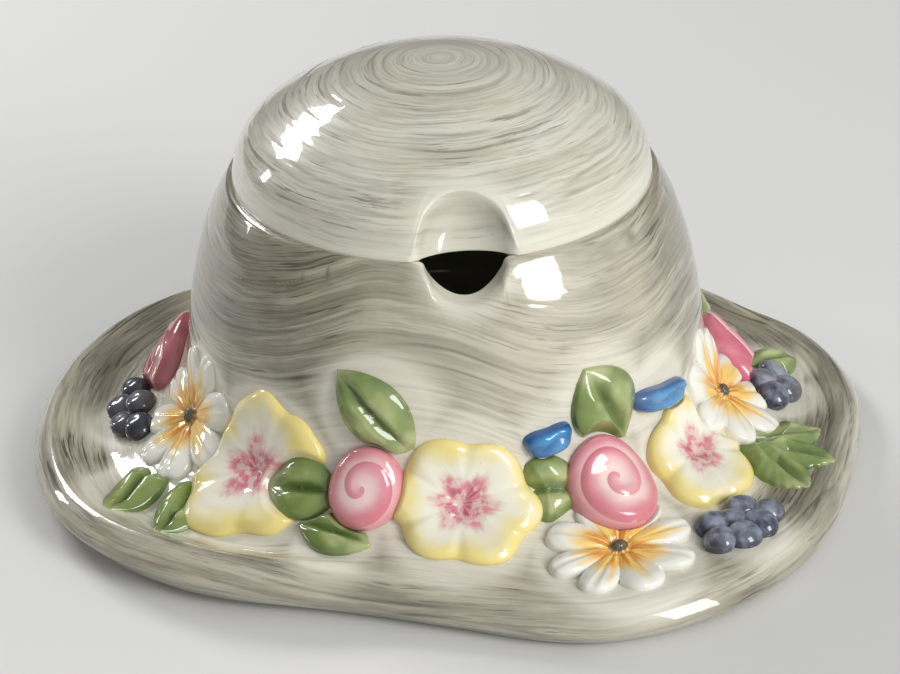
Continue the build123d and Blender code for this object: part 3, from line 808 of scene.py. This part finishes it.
def lay_sprig(entry, paint, outline, height, rings, spokes):
    """Shapes one sprig, lays it on the hat and paints it."""
    title = entry[0] + "_painted"
    finish_piece(title, relief(title, entry, outline, height, rings, spokes), "bowl", entry[0], paint)


def joined(name, parts):
    """One mesh from several that grow together."""
    points, faces, fields = [], [], {}
    for part in parts:
        base = len(points)
        points += [tuple(v.co) for v in part.vertices]
        faces += [tuple(base + i for i in p.vertices) for p in part.polygons]
        for layer in part.attributes:
            if layer.data_type == "FLOAT" and layer.domain == "POINT":
                fields.setdefault(layer.name, []).extend(d.value for d in layer.data)
    return new_mesh(name, points, faces, fields)


def local_point(tree):
    """Place on a sprig, in shares of its half sizes."""
    return put_together(painted(tree, "local_x"), painted(tree, "local_y"), 0.0)


def cloud_on(tree, scale, detail=3.0):
    """Noise that differs from sprig to sprig, from its place in space."""
    return cloud(in_space(tree), scale, detail)


def vector_made(kind, spot):
    """Vector math node on a place."""
    item = place(spot.tree, "ShaderNodeVectorMath", Vector=spot)
    item.operation = kind
    return item


def spoke_noise(tree, fineness, radial):
    """Noise drawn out along the spokes of a flower, like brush strokes from its middle."""
    x, y, _ = split(Tone(vector_made("NORMALIZE", local_point(tree)).outputs[0]))
    return cloud(put_together(x * fineness, y * fineness, painted(tree, "reach") * radial), 1.0, 3.0)


def turn_on(tree):
    """Angle round a sprig's middle."""
    return worked("ARCTAN2", painted(tree, "local_y"), painted(tree, "local_x"))


# Leaves: pressed in a leaf mould, their halves folded up on both sides of a sunk midrib, painted in
# mid green over pale and wiped thin at the tips.


def leaf_outline(teeth=0.0, blunt=0.12):
    """Outline of a pointed leaf, in shares of its half sizes, with small teeth or a blunt end where asked."""
    def outline(turn):
        c, s = np.cos(turn), np.abs(np.sin(turn))
        far = (-s + np.sqrt(s**2 + 4 * c**2)) / np.maximum(2 * c**2, 1e-9)
        far = np.where(c**2 < 1e-6, 1.0, far) * (1 - blunt) + blunt
        return far * (1 - teeth * (0.5 + 0.5 * np.sin(turn * 22)) * (s > 0.1))
    return outline


def leaf_height(seed):
    """Height of a leaf: two soft halves, a sunk midrib, faint side folds and a turned tip."""
    chance = np.random.RandomState(seed)
    twist, sag = chance.uniform(-0.3, 0.3), chance.uniform(0.2, 0.5)

    def height(x, y, reach, turn):
        rib = np.exp(-((y / 0.16) ** 2)) * (1 - 0.5 * np.abs(x))
        halves = 1.9 * (1 - reach**3) * (0.35 + 0.65 * np.clip(np.abs(y) / 0.35, 0, 1) ** 0.7)
        folds = 0.10 * np.sin(9 * (x - 0.8 * np.abs(y))) * np.clip(np.abs(y) * 3, 0, 1) * (1 - reach**4)
        return 1.1 + halves - 0.7 * rib * (1 - reach**4) + folds + twist * y - sag * x**2
    return height


def leaf_colour(tree):
    """Green of a leaf: deeper along the midrib and in hollows, wiped to pale at the tip and on the ridges."""
    noise, broad, level = cloud_on(tree, 230.0, 4.0), cloud_on(tree, 90.0), painted(tree, "level")
    rib = 1.0 - soft_step(worked("ABSOLUTE", painted(tree, "local_y")), 0.02, 0.30)
    low = 1.0 - soft_step(level, 0.9, 2.4)
    dark = worked("MAXIMUM", rib * 0.7, low * 0.6)
    body = blend(dark * soft_step(noise, 0.2, 0.6), as_seen(118, 138, 70), as_seen(66, 92, 42))
    tip = soft_step(worked("ABSOLUTE", painted(tree, "local_x")).moved(broad, 1.1), 0.62, 1.1)
    worn = soft_step(level.moved(broad, 3.0).moved(noise, 2.2), 2.1, 3.4)
    return blend(worked("MAXIMUM", tip * 0.65, worn * 0.5), body, as_seen(194, 198, 142))


leaf_paint = glaze("leaf_paint", leaf_colour)
for count, entry in enumerate(spots_of("leaf")):
    if entry[0] != "leaf_spray_right":
        lay_sprig(entry, leaf_paint, leaf_outline(), leaf_height(count), 26, 120)

# Spray: three toothed leaves fanned from one stem
SPRAY_SPREAD = 38.0
entry = spots_of("leaf_spray")[0]
origin, axes = seat(*entry[-4:])
blades = []
for side in (-1, 1, 0):
    t = radians(side * SPRAY_SPREAD)
    spin = np.array([[cos(t), -sin(t), 0], [sin(t), cos(t), 0], [0, 0, 1]])
    spot = (origin + axes @ spin @ np.array([0.7 * entry[1], 0, 0.4 * (side == 0)]), axes @ spin)
    blades.append(relief("blade", entry, leaf_outline(0.04, 0.45), leaf_height(40 + side), 26, 160, spot))
title = entry[0] + "_painted"
finish_piece(title, joined(title, blades), "bowl", entry[0], leaf_paint)

# Open blooms: five or six broad petals dished round a throat, left cream, with yellow brushed softly
# in from the edges and a star of pink and crimson strokes in the throat.
LOBES = {"bloom_front": 6, "bloom_left": 5, "bloom_right": 5, "bloom_back_right": 5, "bloom_back": 6,
         "bloom_back_left": 5}


def lobed_outline(lobes, depth, blunt, seed, uneven=0.05):
    """Outline of rounded petals, each a little different."""
    a, b, c, d, e, f = np.random.RandomState(seed).uniform(-1, 1, 6)

    def outline(turn):
        wave = 1 - depth * (1 - np.abs(np.cos(lobes * turn / 2)) ** blunt)
        drift = a * np.sin(turn + 3 * b) + c * np.sin(2 * turn + 3 * d)
        drift = drift + 0.35 * e * np.sin(2 * lobes * turn + 3 * f)
        return wave * (1 + uneven * drift)
    return outline


def bloom_height(lobes, seed):
    """Height of an open bloom: a shallow dish with soft folds and a rolled, wavy edge."""
    a, b, c, d, e, f = np.random.RandomState(seed).uniform(-1, 1, 6)

    def height(x, y, reach, turn):
        petal = np.abs(np.cos(lobes * turn / 2))
        rise = np.clip(reach / 0.8, 0, 1)
        dish = 1.5 + 1.3 * rise**2 * (3 - 2 * rise)
        roll = -1.2 * np.clip((reach - 0.80) / 0.20, 0, 1) ** 2
        fold = -0.42 * np.exp(-((petal / 0.34) ** 2)) * np.clip((reach - 0.35) / 0.45, 0, 1)
        wave = 0.3 * reach**2 * (a * np.sin(2 * turn + 3 * b) + 0.7 * c * np.sin(3 * turn + 3 * d))
        star = 0.16 * np.cos(lobes * turn + e) * np.exp(-(((reach - 0.26) / 0.11) ** 2))
        return dish + roll + fold + wave + star - 0.5 * np.exp(-((reach / 0.13) ** 2))
    return height


def bloom_colour(tree, lobes):
    """Cream petals, soft yellow edges and a pink throat with crimson strokes along the folds."""
    reach, broad, speckle = painted(tree, "reach"), cloud_on(tree, 75.0), cloud_on(tree, 520.0, 2.0)
    brush, strokes = spoke_noise(tree, 2.6, 0.8), spoke_noise(tree, 6.0, 2.5)
    edge = soft_step(reach.moved(brush, 0.5).moved(broad, 0.7), 0.56, 1.0)
    petal = blend(edge * 0.9, as_seen(232, 228, 210), as_seen(232, 212, 118))
    star = reach - worked("COSINE", turn_on(tree) * lobes) * 0.045
    star = star.moved(strokes, 0.30).moved(broad, 0.25)
    throat = 1.0 - soft_step(star, 0.28, 0.54)
    dry = soft_step(speckle, 0.42, 0.56) * 0.45 + 0.45
    flushed = blend(throat * dry, petal, as_seen(206, 108, 126))
    dark = (1.0 - soft_step(star, 0.14, 0.38)) * soft_step(strokes.moved(speckle, 0.4), 0.50, 0.62)
    return blend(dark * 0.75, flushed, as_seen(158, 50, 76))


for count, entry in enumerate(spots_of("bloom")):
    lobes = LOBES[entry[0]]
    lay_sprig(entry, glaze(entry[0] + "_paint", bloom_colour, lobes),
              lobed_outline(lobes, 0.12, 1.7, 60 + count, 0.07), bloom_height(lobes, 80 + count), 40, 180)

# Daisies: eight white petals with a crease down each, orange strokes brushed out from the middle over
# a yellow haze, and a small dark eye set in it.
DAISY_PETALS = 8


def daisy_height(x, y, reach, turn):
    """Height of a daisy: round petals that arch up, soft gaps between them and a raised eye."""
    petal = np.abs(np.cos(DAISY_PETALS * turn / 2))
    arch = 1.1 + 1.15 * np.sin(np.clip(reach, 0, 1) * pi * 0.62) * petal**0.55
    tip = -0.6 * np.clip((reach - 0.8) / 0.2, 0, 1) ** 2
    crease = -0.22 * np.exp(-(((1 - petal) / 0.03) ** 2)) * np.clip(reach * 2 - 0.3, 0, 1)
    eye = 1.3 * np.sqrt(np.clip(1 - (np.hypot(x, y) / 0.12) ** 2, 0, 1))
    return arch + tip + crease + eye - 0.5 * np.exp(-(((np.hypot(x, y) - 0.14) / 0.05) ** 2))


def daisy_colour(tree):
    """White petals, orange strokes over yellow on their inner half and a dark eye."""
    strokes, broad = spoke_noise(tree, 5.5, 1.6), cloud_on(tree, 120.0)
    spread = painted(tree, "reach").moved(strokes, 0.75).moved(broad, 0.4)
    haze = (1.0 - soft_step(spread, 0.42, 0.86)) * 0.9
    warm = blend(haze, as_seen(230, 228, 218), as_seen(240, 196, 80))
    near = 1.0 - soft_step(spread, 0.36, 0.66)
    strong = blend(near * soft_step(strokes, 0.40, 0.56), warm, as_seen(212, 130, 22))
    middle = Tone(vector_made("LENGTH", local_point(tree)).outputs["Value"])
    eye = 1.0 - soft_step(middle.moved(broad, 0.06), 0.10, 0.13)
    return blend(eye, strong, as_seen(78, 72, 52))


daisy_paint = glaze("daisy_paint", daisy_colour)
for count, entry in enumerate(spots_of("daisy")):
    outline = lobed_outline(DAISY_PETALS, 0.32, 0.62, 20 + count, 0.05)
    lay_sprig(entry, daisy_paint, outline, daisy_height, 36, 256)

# Rosebuds: plump closed buds. The round ones have petals wrapped in a spiral, the long ones two
# petals that meet along a curved seam. Pink is brushed on the outside and left thin in the folds.


def spiral_share(reach, turn, wraps, start, hand):
    """How far across its petal a point lies, 0 at the fold and 1 at the lip."""
    return (hand * turn / (2 * pi) + reach * wraps + start) % 1.0


def round_bud(wraps, start, hand):
    """Height of a round bud: a plump body and petals that rise to a lip and drop to the next."""
    def height(x, y, reach, turn):
        body = 1.2 + 3.9 * np.sqrt(np.clip(1 - 0.97 * reach**2, 0, 1))
        share = spiral_share(reach, turn, wraps, start, hand)
        lip = 0.6 * (share**2 - np.clip((share - 0.66) / 0.34, 0, 1) ** 2)
        return body + lip * np.clip(reach * 4, 0, 1) * np.clip((1.0 - reach) * 6, 0, 1)
    return height


def round_bud_colour(tree, deep, soft, pale, wraps, start, hand):
    """Pink of a round bud's petals, deepest under each lip and nearly white in the folds."""
    reach, noise = painted(tree, "reach"), cloud_on(tree, 160.0, 4.0)
    wound = turn_on(tree) / (2 * pi) * hand + reach * wraps
    share = worked("FRACT", wound + (start + 4.0)).moved(noise, 0.55)
    body = blend(soft_step(share, 0.1, 1.0), pale, soft)
    out = soft_step(reach.moved(cloud_on(tree, 70.0), 0.5).moved(noise, 0.3), 0.30, 0.92)
    rich = blend(out * 0.9, body, deep)
    fold = 1.0 - soft_step(share, 0.0, 0.42)
    foot = soft_step(reach.moved(noise, 0.3), 0.74, 1.0) * 0.55
    return blend(foot, blend(fold * 0.45, rich, pale), soft)


def long_bud(x, y, reach, turn):
    """Height of a long bud: a smooth body with a groove along the seam of its two petals."""
    seam = y - 0.30 * np.sin(2.6 * x + 0.4)
    body = 1.2 + 3.6 * np.sqrt(np.clip(1 - 0.97 * reach**2, 0, 1))
    groove = 0.75 * np.exp(-((seam / 0.13) ** 2)) * (1 - reach**3)
    return body - groove + 0.25 * np.exp(-(((seam - 0.25) / 0.14) ** 2))


def long_bud_colour(tree, deep, soft, pale, across):
    """Pink of a long bud: pale along its seam, one petal of it paler as asked, from 0 to 1."""
    noise = cloud_on(tree, 170.0, 4.0)
    seam = painted(tree, "local_y") - worked("SINE", painted(tree, "local_x") * 2.6 + 0.4) * 0.30
    line = 1.0 - soft_step(worked("ABSOLUTE", seam).moved(noise, 0.2), 0.03, 0.20)
    body = blend(soft_step(noise, 0.35, 0.7), deep, soft)
    other = soft_step(seam.moved(noise, 0.3), 0.05, 0.5) * across
    return blend(line * 0.8, blend(other, body, pale), pale)


RASPBERRY = (as_seen(160, 58, 78), as_seen(184, 88, 104), as_seen(222, 176, 172))
ROSE = (as_seen(200, 100, 118), as_seen(218, 140, 150), as_seen(236, 206, 200))
ROUND_BUDS = {"rosebud_front_left": (1.4, 0.55, 1), "rosebud_front_right": (1.8, 0.15, -1),
              "rosebud_back_right": (1.4, 0.40, 1), "rosebud_back_left": (1.3, 0.80, -1)}
LONG_BUDS = {"rosebud_left": (RASPBERRY, 0.0), "rosebud_right": (ROSE, 0.7)}
for entry in spots_of("rosebud"):
    key = entry[0]
    if key in ROUND_BUDS:
        height = round_bud(*ROUND_BUDS[key])
        paint = glaze(key + "_paint", round_bud_colour, *ROSE, *ROUND_BUDS[key])
    else:
        pinks, across = LONG_BUDS[key]
        height, paint = long_bud, glaze(key + "_paint", long_bud_colour, *pinks, across)
    lay_sprig(entry, paint, np.ones_like, height, 54, 160)

# Berries: low round berries grown together in clusters, glazed in a dark blue that runs thin and grey
# in blotches on the high spots.
BERRY_FLATNESS = 0.74


def berry(radius, middle, spot, chance):
    """One berry: a slightly uneven, flattened ball with a dimple."""
    origin, axes = spot
    rows = np.linspace(0.04, 0.96, 20)[:, None] * pi
    turn = np.linspace(0, 2 * pi, 40, endpoint=False)[None]
    size = radius * (1 + 0.06 * np.sin(2 * turn + chance[0] * 6) * np.sin(rows) + 0.04 * chance[1])
    size = size * (1 - 0.10 * np.exp(-((rows / 0.32) ** 2)))
    ball = np.stack([size * np.sin(rows) * np.cos(turn), size * np.sin(rows) * np.sin(turn),
                     BERRY_FLATNESS * size * np.cos(rows)], axis=2)
    ground = hat_below(origin, axes, np.array([[middle[0]]]), np.array([[middle[1]]]))[0, 0]
    lean = np.array([chance[1], chance[2], 0]) * 0.6
    grid = ball + lean * np.cos(rows)[..., None] + np.array([*middle, DRAPE * ground + 0.9 + 0.3 * chance[0]])
    return closed_mesh("berry", origin + grid @ axes.T, {"level": np.cos(rows) + 0 * turn})


def berry_colour(tree, dark, light):
    """Blue berries, dark in the hollows between them and blotched grey on top."""
    high = painted(tree, "level").moved(cloud_on(tree, 420.0, 4.0), 3.2).moved(cloud_on(tree, 150.0), 1.2)
    return blend(soft_step(high, 0.0, 1.6), dark, light)


night_blue = glaze("night_blue_berry", berry_colour, as_seen(24, 25, 38), as_seen(60, 64, 86))
slate_blue = glaze("slate_blue_berry", berry_colour, as_seen(42, 48, 70), as_seen(146, 152, 168))
for count, (name, radius, middles, *where) in enumerate(spots_of("berries")):
    chance = np.random.RandomState(100 + count).uniform(-1, 1, (len(middles), 3))
    parts = [berry(radius, middle, seat(*where), c) for middle, c in zip(middles, chance)]
    finish_piece(name + "_painted", joined(name + "_painted", parts), "bowl", name,
                 night_blue if name == "berries_left" else slate_blue)

# Ribbon loops: two short puffed loops of ribbon that show between the flowers, in a strong blue
# glaze that breaks to pale blue on the ridges.


def loop_height(x, y, reach, turn):
    """Height of a ribbon loop: a puffed pad with a soft dent along it."""
    puff = 0.8 + 2.0 * (1 - reach**4) ** 0.6
    return puff - 0.6 * np.exp(-(((y - 0.25 * np.sin(4 * x)) / 0.32) ** 2)) * (1 - x**2)


def loop_colour(tree):
    """Blue that pools dark in the dents and breaks pale on top."""
    high = painted(tree, "level").moved(cloud_on(tree, 260.0, 4.0), 2.2)
    return blend(soft_step(high, 1.5, 3.2), as_seen(8, 84, 146), as_seen(60, 146, 200))


def pad_outline(turn):
    """Outline of a pad with rounded ends, a little waisted."""
    pad = (np.abs(np.cos(turn)) ** 3.0 + np.abs(np.sin(turn)) ** 3.0) ** (-1 / 3.0)
    return pad * (1 - 0.10 * np.sin(turn) ** 4 + 0.06 * np.sin(3 * turn))


loop_paint = glaze("loop_paint", loop_colour)
for entry in spots_of("ribbon"):
    lay_sprig(entry, loop_paint, pad_outline, loop_height, 22, 80)

# Table and light: a plain pale table under a big soft sky that is brighter in front, one softbox in
# front on the right and two behind on the left, as the gloss on the hat shows them.
TABLE_HALF = 3.0
table_mesh = bpy.data.meshes.new("table")
corners = [(-TABLE_HALF, -TABLE_HALF, 0), (TABLE_HALF, -TABLE_HALF, 0), (TABLE_HALF, TABLE_HALF, 0),
           (-TABLE_HALF, TABLE_HALF, 0)]
table_mesh.from_pydata(corners, [], [(0, 1, 2, 3)])
table = bpy.data.objects.new("table", table_mesh)
bpy.context.scene.collection.objects.link(table)
table_paint = bpy.data.materials.new("pale_table")
table_paint.use_nodes = True
shader = table_paint.node_tree.nodes["Principled BSDF"]
mottled = cloud(in_space(table_paint.node_tree), 3.0)
feed(shader.inputs["Base Color"], blend(mottled, as_seen(214, 213, 210), as_seen(220, 219, 216)))
shader.inputs["Roughness"].default_value = 0.7
table_mesh.materials.append(table_paint)

SKY_LIGHT = 0.15
SKY_FROM_FRONT = 0.62
SKY_FRONT = (0.62, -0.62, 0.48)
SKY_COLOUR = (0.96, 0.98, 1.0, 1.0)
world = bpy.data.worlds.new("studio")
world.use_nodes = True
sky = world.node_tree
lean = vector_made("DOT_PRODUCT", Tone(place(sky, "ShaderNodeTexCoord").outputs["Generated"]))
lean.inputs[1].default_value = SKY_FRONT
front = soft_step(Tone(lean.outputs["Value"]), -0.2, 0.95)
sky.nodes["Background"].inputs["Color"].default_value = SKY_COLOUR
feed(sky.nodes["Background"].inputs["Strength"], front * SKY_FROM_FRONT + SKY_LIGHT)
bpy.context.scene.world = world


def stand_at(name, data, axes, spot):
    """Puts a lamp or a camera in the scene at a spot, turned to axes that are given as columns."""
    item = bpy.data.objects.new(name, data)
    item.matrix_world = Matrix([[*axes[i], spot[i]] for i in range(3)] + [[0, 0, 0, 1]])
    bpy.context.scene.collection.objects.link(item)
    return item


SOFTBOX_DISTANCE = 1.1
SOFTBOX_AIM = 0.04


def softbox(name, side, height, size, power):
    """Soft rectangular lamp aimed at the hat, from an angle off the front and a height angle."""
    lamp = bpy.data.lights.new(name, "AREA")
    lamp.shape = "RECTANGLE"
    lamp.size, lamp.size_y = size
    lamp.energy = power
    a, e = radians(side), radians(height)
    way = np.array([sin(a) * cos(e), -cos(a) * cos(e), sin(e)])
    right = np.array([cos(a), sin(a), 0.0])
    axes = np.stack([right, np.cross(way, right), way], axis=1)
    stand_at(name, lamp, axes, way * SOFTBOX_DISTANCE + np.array([0, 0, SOFTBOX_AIM]))


softbox("softbox_right", 42.0, 27.0, (0.34, 0.60), 7.6)
softbox("softbox_left", -141.0, 35.0, (0.44, 0.24), 5.6)
softbox("softbox_left_low", -118.0, 14.0, (0.10, 0.22), 1.2)

# Camera: long lens, about 30 degrees above the table, a little to the left of the spoon gap, held
# slightly askew.
CAMERA_TILT = 30.15
CAMERA_ROLL = -1.33
CAMERA_SIDE = -5.3
CAMERA_DISTANCE = 0.400
LOOK_AT = (0.0008, 0.0, 0.0199)
CAMERA_LENS = 75.15
CAMERA_SENSOR = 36.0
tilt, roll, side = radians(CAMERA_TILT), radians(CAMERA_ROLL), radians(CAMERA_SIDE)
back = np.array([0, -cos(tilt), sin(tilt)])
level = np.array([1.0, 0, 0])
rise = np.cross(level, -back)
right = level * cos(roll) + rise * sin(roll)
up = -level * sin(roll) + rise * cos(roll)
spin = np.array([[cos(side), -sin(side), 0], [sin(side), cos(side), 0], [0, 0, 1]])
lens = bpy.data.cameras.new("camera")
lens.sensor_width, lens.lens = CAMERA_SENSOR, CAMERA_LENS
lens.clip_start, lens.clip_end = 0.01, 20.0
bpy.context.scene.camera = stand_at("camera", lens, spin @ np.stack([right, up, back], axis=1),
                                    spin @ (np.array(LOOK_AT) + back * CAMERA_DISTANCE))
bpy.context.scene.view_settings.view_transform = "Standard"

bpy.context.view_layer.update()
